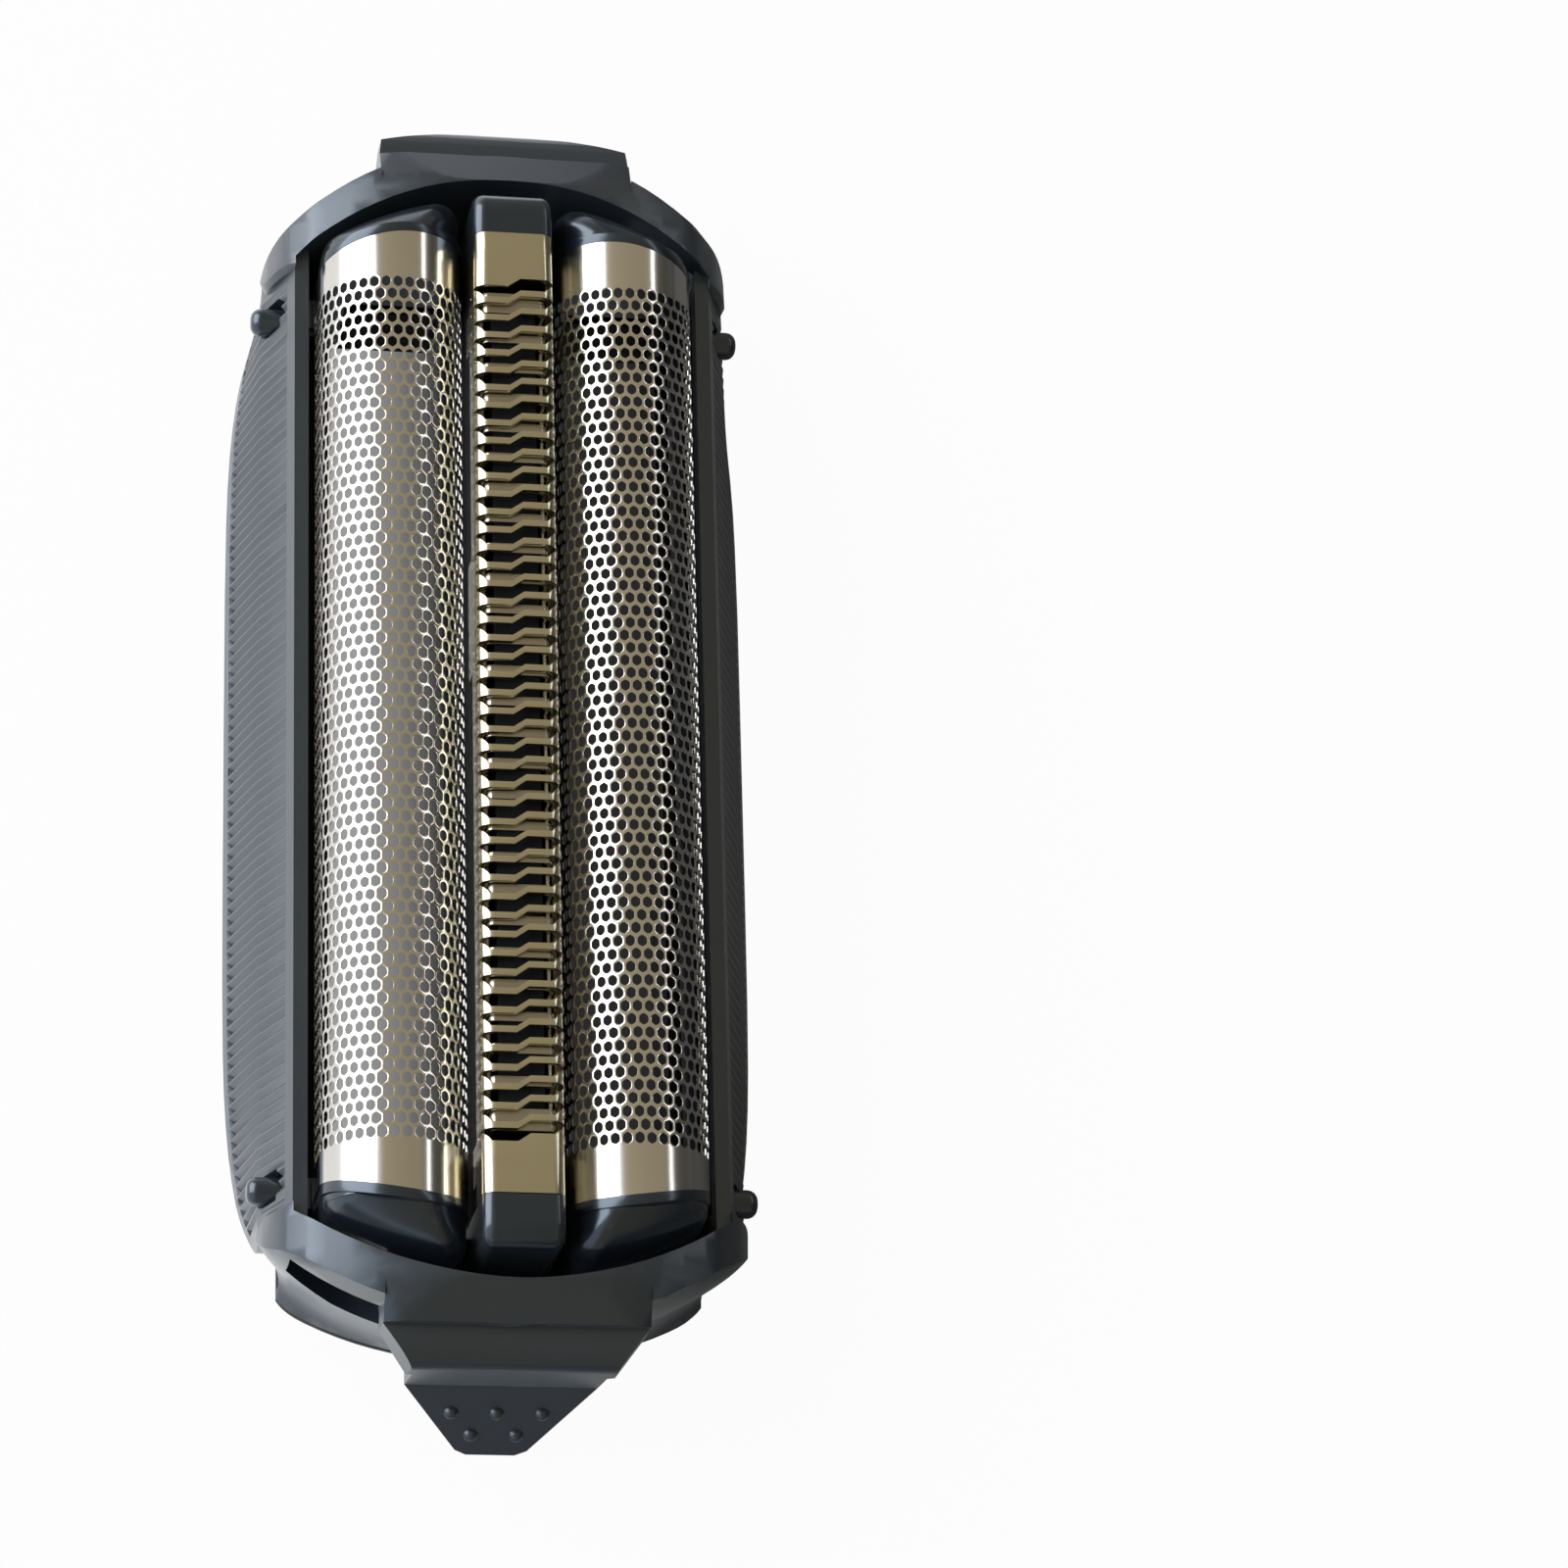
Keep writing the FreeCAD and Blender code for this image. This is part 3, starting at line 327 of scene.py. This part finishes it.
cell_rows = []
for columns, shift in ((cells_across, Vector((0, 0, 0))),
                       (cells_across + 1, Vector((-cell_width / 2, row_pitch, 0)))):
    bpy.ops.object.select_all(action="DESELECT")
    cell.select_set(True)
    bpy.context.view_layer.objects.active = cell
    bpy.ops.object.duplicate()
    rows = bpy.context.object
    rows.data.transform(Matrix.Translation(shift))
    for label, count, step in (("across", columns, (cell_width, 0, 0)),
                               ("along", row_pairs, (0, 2 * row_pitch, 0))):
        repeat = rows.modifiers.new(label, "ARRAY")
        repeat.count = count
        repeat.use_relative_offset = False
        repeat.use_constant_offset = True
        repeat.constant_offset_displace = step
        bpy.ops.object.modifier_apply(modifier=label)
    cell_rows.append(rows)
bpy.data.objects.remove(cell)
bpy.ops.object.select_all(action="DESELECT")
for rows in cell_rows:
    rows.select_set(True)
bpy.context.view_layer.objects.active = cell_rows[0]
bpy.ops.object.join()
foil = bpy.context.object
foil.name = "left_foil_sheet"
bpy.ops.object.mode_set(mode="EDIT")
bpy.ops.mesh.select_all(action="SELECT")
bpy.ops.mesh.remove_doubles(threshold=merge_distance)
for limit, direction in ((lattice_half_width, (1, 0, 0)), (lattice_half_width, (-1, 0, 0)),
                         (lattice_half_length, (0, 1, 0)), (lattice_half_length, (0, -1, 0))):
    bpy.ops.mesh.select_all(action="SELECT")
    bpy.ops.mesh.bisect(plane_co=Vector(direction) * limit, plane_no=direction,
                        clear_outer=True)

flank_strip = sheet_half_width - lattice_half_width
band_length = band_end_y - lattice_half_length
for side in (-1, 1):
    bpy.ops.mesh.select_all(action="DESELECT")
    bpy.ops.mesh.primitive_grid_add(x_subdivisions=1, y_subdivisions=strip_pieces_along, size=1,
                                    location=(side * (lattice_half_width + flank_strip / 2),
                                              0, 0))
    bpy.ops.transform.resize(value=(flank_strip, 2 * lattice_half_length, 1))
    bpy.ops.mesh.select_all(action="DESELECT")
    bpy.ops.mesh.primitive_grid_add(x_subdivisions=band_pieces_across,
                                    y_subdivisions=band_pieces_along, size=1,
                                    location=(0, side * (lattice_half_length
                                                         + band_length / 2), 0))
    bpy.ops.transform.resize(value=(2 * sheet_half_width, band_length, 1))
bpy.ops.mesh.select_all(action="SELECT")
bpy.ops.mesh.normals_make_consistent(inside=False)
bpy.ops.object.mode_set(mode="OBJECT")
if sum(face.normal.z for face in foil.data.polygons) < 0:
    foil.data.flip_normals()

foil.rotation_euler = (0, math.radians(90), 0)
bpy.ops.object.transform_apply(rotation=True)
bend = foil.modifiers.new("bent_to_arch", "SIMPLE_DEFORM")
bend.deform_method = "BEND"
bend.deform_axis = "Y"
bend.angle = math.pi
arch_share = math.pi / 2 * foil_radius / sheet_half_width
bend.limits = (0.5 - arch_share / 2, 0.5 + arch_share / 2)
bpy.ops.object.modifier_apply(modifier=bend.name)
foil.rotation_euler = (0, math.radians(90), 0)
foil.location = (-foil_centre_x, 0, foil_axis_height + foil_radius)
bpy.ops.object.transform_apply(location=True, rotation=True)

for corner in foil.data.vertices:
    beyond = abs(corner.co.y) - lattice_half_length
    if beyond > same_place:
        off_peak = abs(corner.co.x) - band_peak_x
        end_y = band_end_y - off_peak ** 2 / (2 * band_end_radius)
        reach = lattice_half_length + beyond * (end_y - lattice_half_length) / band_length
        corner.co.y = math.copysign(reach, corner.co.y)
top = max(foil.data.polygons, key=lambda face: face.center.z)
if top.normal.z < 0:
    foil.data.flip_normals()
wall = foil.modifiers.new("sheet", "SOLIDIFY")
wall.thickness = foil_sheet
wall.offset = -1
wall.use_even_offset = True
bpy.ops.object.modifier_apply(modifier=wall.name)
bpy.ops.object.shade_smooth_by_angle(angle=smooth_angle)

bloom_scale = 240
steel_gloss_spread = 0.12
drawn = bpy.data.node_groups.new("drawn_steel", "ShaderNodeTree")
group_socket(drawn, "Colour", "NodeSocketColor", "INPUT", (0.8, 0.78, 0.74, 1))
group_socket(drawn, "Dull colour", "NodeSocketColor", "INPUT", (0.6, 0.58, 0.52, 1))
group_socket(drawn, "Gloss", "NodeSocketFloat", "INPUT", 0.15)
group_socket(drawn, "Streaks across", "NodeSocketVector", "INPUT", (3000, 60, 3000))
group_socket(drawn, "Colour", "NodeSocketColor", "OUTPUT")
group_socket(drawn, "Roughness", "NodeSocketFloat", "OUTPUT")
group_socket(drawn, "Height", "NodeSocketFloat", "OUTPUT")
steel_in = drawn.nodes.new("NodeGroupInput")
steel_out = drawn.nodes.new("NodeGroupOutput")
steel_place = drawn.nodes.new("ShaderNodeTexCoord")
steel_stretch = drawn.nodes.new("ShaderNodeMapping")
drawn.links.new(steel_place.outputs["Object"], steel_stretch.inputs["Vector"])
drawn.links.new(steel_in.outputs["Streaks across"], steel_stretch.inputs["Scale"])
streaks = drawn.nodes.new("ShaderNodeTexNoise")
streaks.inputs["Scale"].default_value = 1
streaks.inputs["Detail"].default_value = 4
drawn.links.new(steel_stretch.outputs["Vector"], streaks.inputs["Vector"])
bloom = drawn.nodes.new("ShaderNodeTexNoise")
bloom.inputs["Scale"].default_value = bloom_scale
bloom.inputs["Detail"].default_value = 5
drawn.links.new(steel_place.outputs["Object"], bloom.inputs["Vector"])
steel_tone = colour_mix(drawn, bloom.outputs["Fac"], steel_in.outputs["Colour"],
                        steel_in.outputs["Dull colour"])
steel_rough = math_node(drawn, "MULTIPLY_ADD", streaks.outputs["Fac"], steel_gloss_spread)
drawn.links.new(steel_in.outputs["Gloss"], steel_rough.node.inputs[2])
drawn.links.new(steel_tone, steel_out.inputs["Colour"])
drawn.links.new(steel_rough, steel_out.inputs["Roughness"])
drawn.links.new(streaks.outputs["Fac"], steel_out.inputs["Height"])


def bright_steel(name, colour, dull_colour, gloss, streak_scale, streak_depth):
    """A steel whose tone, gloss and streaks come from the drawn steel group."""
    material = bpy.data.materials.new(name)
    material.use_nodes = True
    tree = material.node_tree
    shader = tree.nodes["Principled BSDF"]
    shader.inputs["Metallic"].default_value = 1
    metal = tree.nodes.new("ShaderNodeGroup")
    metal.node_tree = drawn
    metal.inputs["Colour"].default_value = colour
    metal.inputs["Dull colour"].default_value = dull_colour
    metal.inputs["Gloss"].default_value = gloss
    metal.inputs["Streaks across"].default_value = streak_scale
    tree.links.new(metal.outputs["Colour"], shader.inputs["Base Color"])
    tree.links.new(metal.outputs["Roughness"], shader.inputs["Roughness"])
    relief = tree.nodes.new("ShaderNodeBump")
    relief.inputs["Strength"].default_value = 1
    relief.inputs["Distance"].default_value = streak_depth
    tree.links.new(metal.outputs["Height"], relief.inputs["Height"])
    tree.links.new(relief.outputs["Normal"], shader.inputs["Normal"])
    return material


foil_steel = bright_steel("electroformed_foil", (0.80, 0.78, 0.75, 1),
                          (0.70, 0.68, 0.64, 1), gloss=0.10,
                          streak_scale=(1500, 90, 1500), streak_depth=0.0000006)
finish_with(foil, foil_steel)
bpy.ops.object.select_all(action="DESELECT")
foil.select_set(True)
bpy.context.view_layer.objects.active = foil
bpy.ops.object.duplicate()
right_sheet = bpy.context.object
right_sheet.name = "right_foil_sheet"
right_sheet.data.transform(Matrix.Scale(-1, 4, Vector((1, 0, 0))))
right_sheet.data.flip_normals()
for sheet, name in ((foil, "left"), (right_sheet, "right")):
    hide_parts(name + "_foil")
    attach(sheet, name + "_foil_unit")


# End blocks: four half gloss black mouldings that close the ends of the foils with a low
# dome. Each has a snap knob that stands out through an upright slot of the frame's wall.
block_edge_radius = 0.00007
half_gloss_black = moulded_plastic("half_gloss_black_moulding", (0.006, 0.0092, 0.016, 1),
                                   (0.010, 0.014, 0.022, 1), (0.035, 0.039, 0.046, 1),
                                   gloss=0.18, grain_scale=7000, grain_depth=0.000003,
                                   grazing_sheen=0.05, mirror_level=0.8, skin_coat=0.6)
for side in ("left", "right"):
    for end in ("far", "near"):
        part = side + "_" + end + "_end_block"
        block = rounded_copy(part, side + "_" + end + "_domed_block", block_edge_radius)
        finish_with(block, half_gloss_black)
        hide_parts(part)
        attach(block, side + "_foil_unit")


# Clamp rails: a black plastic strip along each lower edge of each foil, which grips the
# thin sheet and holds it to its bend.
rail_edge_radius = 0.00006
for side in ("left", "right"):
    for edge in ("outer", "inner"):
        part = side + "_" + edge + "_clamp_rail"
        rail = rounded_copy(part, side + "_" + edge + "_sheet_grip", rail_edge_radius)
        finish_with(rail, matt_black)
        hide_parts(part)
        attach(rail, side + "_foil_unit")


# Trimmer comb: a channel of warm bright steel between the foils, cut into narrow wavy
# fins that run over both shoulders. The fins are ground, so that their edges glint.
comb_edge_radius = 0.00005
comb_steel = bright_steel("warm_comb_steel", (0.74, 0.70, 0.55, 1),
                          (0.63, 0.59, 0.45, 1), gloss=0.16,
                          streak_scale=(200, 2600, 200), streak_depth=0.0000012)
comb = rounded_copy("trimmer_comb", "slotted_comb", comb_edge_radius)
finish_with(comb, comb_steel)
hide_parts("trimmer_comb")
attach(comb, "trimmer_unit")


# Trimmer blade: the ground steel inner blade, whose teeth run to and fro under the comb,
# and the black carrier that is driven by its fork.
blade_edge_radius = 0.00003
carrier_edge_radius = 0.00006
ground_steel = bright_steel("ground_blade_steel", (0.52, 0.49, 0.43, 1),
                            (0.40, 0.37, 0.32, 1), gloss=0.22,
                            streak_scale=(300, 3000, 300), streak_depth=0.0000015)
blade = rounded_copy("trimmer_blade", "toothed_blade", blade_edge_radius)
finish_with(blade, ground_steel)
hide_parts("trimmer_blade")
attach(blade, "blade_unit")
carrier = rounded_copy("blade_carrier", "forked_blade_carrier", carrier_edge_radius)
finish_with(carrier, matt_black)
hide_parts("blade_carrier")
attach(carrier, "blade_unit")


# Trimmer base: the long black channel under the comb, with a half gloss cap at each end
# that slides on the guide pins of the inner base.
channel_edge_radius = 0.00006
trimmer_base = rounded_copy("trimmer_base", "trimmer_channel", channel_edge_radius)
finish_with(trimmer_base, matt_black)
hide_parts("trimmer_base")
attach(trimmer_base, "trimmer_unit")
cap_edge_radius = 0.00007
for end in ("far", "near"):
    cap = rounded_copy(end + "_trimmer_cap", end + "_comb_cap", cap_edge_radius)
    finish_with(cap, half_gloss_black)
    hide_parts(end + "_trimmer_cap")
    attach(cap, "trimmer_unit")


# Trimmer springs: two small coils of drawn wire that stand round the guide pins. They lift
# the trimmer.
wire_edge_radius = 0.00002
drawn_wire = bright_steel("drawn_spring_wire", (0.56, 0.56, 0.57, 1),
                          (0.44, 0.44, 0.45, 1), gloss=0.2,
                          streak_scale=(2600, 2600, 300), streak_depth=0.000001)
for end in ("far", "near"):
    part = end + "_trimmer_spring"
    coil = rounded_copy(part, end + "_lifting_coil", wire_edge_radius)
    finish_with(coil, drawn_wire)
    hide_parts(part)
    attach(coil, "frame")
    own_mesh(coil)


# Stage: a plain floor that the camera sees white. Under the head its glow is painted: dim, as
# painted shade, and a little paler at the left, a painted pool of the light that falls through
# the foil. In the plastic and the steel it is seen white at the left and far sides, and it
# fades towards the near and right sides and round the foot of the head, as painted shade in the
# reflections.
floor_size = 4
footprint_half_width = 0.0090
footprint_half_length = 0.0246
footprint_roundness = 6
# Painted light and shade under the head: the glow is paler at the left, where light falls
# through the foil, and dim at the right.
under_left_x = -0.0056
under_right_x = -0.0016
under_left_glow = 0.34
under_right_glow = 0.02
# Painted shade in the reflections: the floor's mirrored glow fades to the right, to the near
# side and round the foot of the head.
right_fade_start_x = 0.007
right_fade_end_x = 0.012
right_fade_glow = 0.05
near_fade_slant = -0.8
near_fade_start = -0.019
near_fade_end = -0.030
near_fade_glow = 0.2
footprint_edge_start = 0.97
footprint_edge_end = 1.03
mirrored_footprint_edge_end = 1.06
mirrored_painted_shadow_glow = 0.15
seen_glow_share = 0.96
mirrored_glow_share = 0.88
bpy.ops.object.select_all(action="DESELECT")
bpy.ops.mesh.primitive_plane_add(size=floor_size, location=(0, 0, 0))
floor = bpy.context.object
floor.name = "studio_floor"
white_floor = bpy.data.materials.new("white_floor")
white_floor.use_nodes = True
floor_shader = white_floor.node_tree.nodes["Principled BSDF"]
floor_shader.inputs["Base Color"].default_value = (0.75, 0.75, 0.75, 1)
floor_shader.inputs["Roughness"].default_value = 0.9
floor_shader.inputs["Specular IOR Level"].default_value = 0.1
floor_tree = white_floor.node_tree
floor_glow = floor_tree.nodes.new("ShaderNodeEmission")
floor_rays = floor_tree.nodes.new("ShaderNodeLightPath")
floor_place = floor_tree.nodes.new("ShaderNodeTexCoord")
floor_split = floor_tree.nodes.new("ShaderNodeSeparateXYZ")
floor_tree.links.new(floor_place.outputs["Object"], floor_split.inputs[0])


def floor_ramp(value, low, high, low_share, high_share):
    """A share of the floor's glow that changes between two values."""
    node = floor_tree.nodes.new("ShaderNodeMapRange")
    for name, number in (("From Min", low), ("From Max", high),
                         ("To Min", low_share), ("To Max", high_share)):
        node.inputs[name].default_value = number
    floor_tree.links.new(value, node.inputs["Value"])
    return node.outputs["Result"]


beside = math_node(floor_tree, "ABSOLUTE", floor_split.outputs["X"], 0)
beside = math_node(floor_tree, "MULTIPLY", beside, 1 / footprint_half_width)
beside = math_node(floor_tree, "POWER", beside, footprint_roundness)
beyond = math_node(floor_tree, "ABSOLUTE", floor_split.outputs["Y"], 0)
beyond = math_node(floor_tree, "MULTIPLY", beyond, 1 / footprint_half_length)
beyond = math_node(floor_tree, "POWER", beyond, footprint_roundness)
off_centre = math_node(floor_tree, "ADD", beside, beyond)
off_centre = math_node(floor_tree, "POWER", off_centre, 1 / footprint_roundness)
# Painted light and shade on the floor under the head.
painted_light_under_head = floor_ramp(floor_split.outputs["X"], under_left_x, under_right_x,
                        under_left_glow, under_right_glow)
outside = floor_ramp(off_centre, footprint_edge_start, footprint_edge_end, 0.0, 1.0)
seen_glow = math_node(floor_tree, "MAXIMUM", painted_light_under_head, outside)
camera_share = math_node(floor_tree, "MULTIPLY", floor_rays.outputs["Is Camera Ray"],
                         seen_glow_share)
mirror_rays = math_node(floor_tree, "ADD", floor_rays.outputs["Is Glossy Ray"],
                        floor_rays.outputs["Is Transmission Ray"])
mirror_share = math_node(floor_tree, "MULTIPLY", mirror_rays, mirrored_glow_share)
seen_share = math_node(floor_tree, "ADD", camera_share, mirror_share)
# Painted shade in the reflections, to the right and near side of the head.
painted_shade_right = floor_ramp(floor_split.outputs["X"], right_fade_start_x, right_fade_end_x,
                        1.0, right_fade_glow)
near_side = math_node(floor_tree, "MULTIPLY_ADD", floor_split.outputs["X"], near_fade_slant)
floor_tree.links.new(floor_split.outputs["Y"], near_side.node.inputs[2])
painted_shade_near = floor_ramp(near_side, near_fade_end, near_fade_start, near_fade_glow, 1.0)
mirror_glow = floor_ramp(off_centre, footprint_edge_start, mirrored_footprint_edge_end,
                         mirrored_painted_shadow_glow, 1.0)
mirror_glow = math_node(floor_tree, "MULTIPLY", mirror_glow, painted_shade_right)
mirror_glow = math_node(floor_tree, "MULTIPLY", mirror_glow, painted_shade_near)
glow = floor_tree.nodes.new("ShaderNodeMix")
floor_tree.links.new(floor_rays.outputs["Is Camera Ray"], glow.inputs["Factor"])
floor_tree.links.new(mirror_glow, glow.inputs["A"])
floor_tree.links.new(seen_glow, glow.inputs["B"])
floor_tree.links.new(glow.outputs["Result"], floor_glow.inputs["Strength"])
floor_mix = floor_tree.nodes.new("ShaderNodeMixShader")
floor_tree.links.new(seen_share, floor_mix.inputs[0])
floor_tree.links.new(floor_shader.outputs["BSDF"], floor_mix.inputs[1])
floor_tree.links.new(floor_glow.outputs["Emission"], floor_mix.inputs[2])
floor_tree.links.new(floor_mix.outputs["Shader"],
                     floor_tree.nodes["Material Output"].inputs["Surface"])
finish_with(floor, white_floor)


# Light: a room that is pale at the left, dim and warm overhead and dark at the right, with a
# large soft lamp at the left and a narrow one at the right. They draw the light streaks
# along the foils.
room = bpy.data.worlds.new("plain_room")
bpy.context.scene.world = room
room.use_nodes = True
room_tree = room.node_tree
room_place = room_tree.nodes.new("ShaderNodeTexCoord")
room_split = room_tree.nodes.new("ShaderNodeSeparateXYZ")
room_tree.links.new(room_place.outputs["Generated"], room_split.inputs[0])
room_across = math_node(room_tree, "MULTIPLY_ADD", room_split.outputs["X"], 0.5)
room_across.node.inputs[2].default_value = 0.5
room_sides = room_tree.nodes.new("ShaderNodeValToRGB")
room_sides.color_ramp.elements[0].position = 0.24
room_sides.color_ramp.elements[0].color = (0.74, 0.78, 0.84, 1)
room_sides.color_ramp.elements[1].position = 0.31
room_sides.color_ramp.elements[1].color = (0.37, 0.32, 0.215, 1)
for position, colour in ((0.78, (0.30, 0.26, 0.18, 1)), (0.86, (0.07, 0.065, 0.055, 1))):
    room_sides.color_ramp.elements.new(position).color = colour
room_tree.links.new(room_across, room_sides.inputs["Fac"])
room_height = room_tree.nodes.new("ShaderNodeMapRange")
room_height.interpolation_type = "SMOOTHSTEP"
room_height.inputs["From Min"].default_value = 0.08
room_height.inputs["From Max"].default_value = 0.20
room_tree.links.new(room_split.outputs["Z"], room_height.inputs["Value"])
room_horizon = room_tree.nodes.new("ShaderNodeValToRGB")
room_horizon.color_ramp.elements[0].position = 0.30
room_horizon.color_ramp.elements[0].color = (0.88, 0.92, 0.98, 1)
room_horizon.color_ramp.elements[1].position = 0.66
room_horizon.color_ramp.elements[1].color = (0.08, 0.083, 0.088, 1)
room_tree.links.new(room_across, room_horizon.inputs["Fac"])
room_tone = colour_mix(room_tree, room_height.outputs["Result"],
                       room_horizon.outputs["Color"], room_sides.outputs["Color"])
room_tree.links.new(room_tone, room_tree.nodes["Background"].inputs["Color"])
for name, direction, distance, width, length, power in (
        ("left_soft_lamp", (-0.82, 0.34, 0.46), 0.5, 0.50, 0.60, 3.3),
        ("right_strip_lamp", (0.70, 0.36, 0.62), 0.5, 0.04, 0.40, 0.12)):
    lamp_data = bpy.data.lights.new(name, "AREA")
    lamp_data.shape = "RECTANGLE"
    lamp_data.size = width
    lamp_data.size_y = length
    lamp_data.energy = power
    lamp = bpy.data.objects.new(name, lamp_data)
    bpy.context.scene.collection.objects.link(lamp)
    outward = Vector(direction).normalized()
    across = Vector((0, 1, 0)).cross(outward).normalized()
    along = outward.cross(across)
    lamp.matrix_world = Matrix((across, along, outward)).transposed().to_4x4()
    lamp.matrix_world.translation = outward * distance


# Camera: stands where the photograph was taken from, high above the near end and a little
# to the left, and looks down through a long lens with no shift.
camera_data = bpy.data.cameras.new("photo_camera")
camera_data.lens = 139.07
camera_data.sensor_width = 36
camera_data.clip_start = 0.005
camera_data.clip_end = 20
camera = bpy.data.objects.new("photo_camera", camera_data)
bpy.context.scene.collection.objects.link(camera)
camera_right = Vector((0.9841352, -0.0264629, 0.1754355))
camera_up = Vector((-0.0379318, 0.9345681, 0.3537565))
camera_back = Vector((-0.1733179, -0.3547988, 0.9187376))
camera_place = Vector((-0.033545, -0.095398, 0.250127))
camera.matrix_world = Matrix((camera_right, camera_up, camera_back)).transposed().to_4x4()
camera.matrix_world.translation = camera_place
bpy.context.scene.camera = camera
bpy.context.scene.view_settings.view_transform = "Standard"
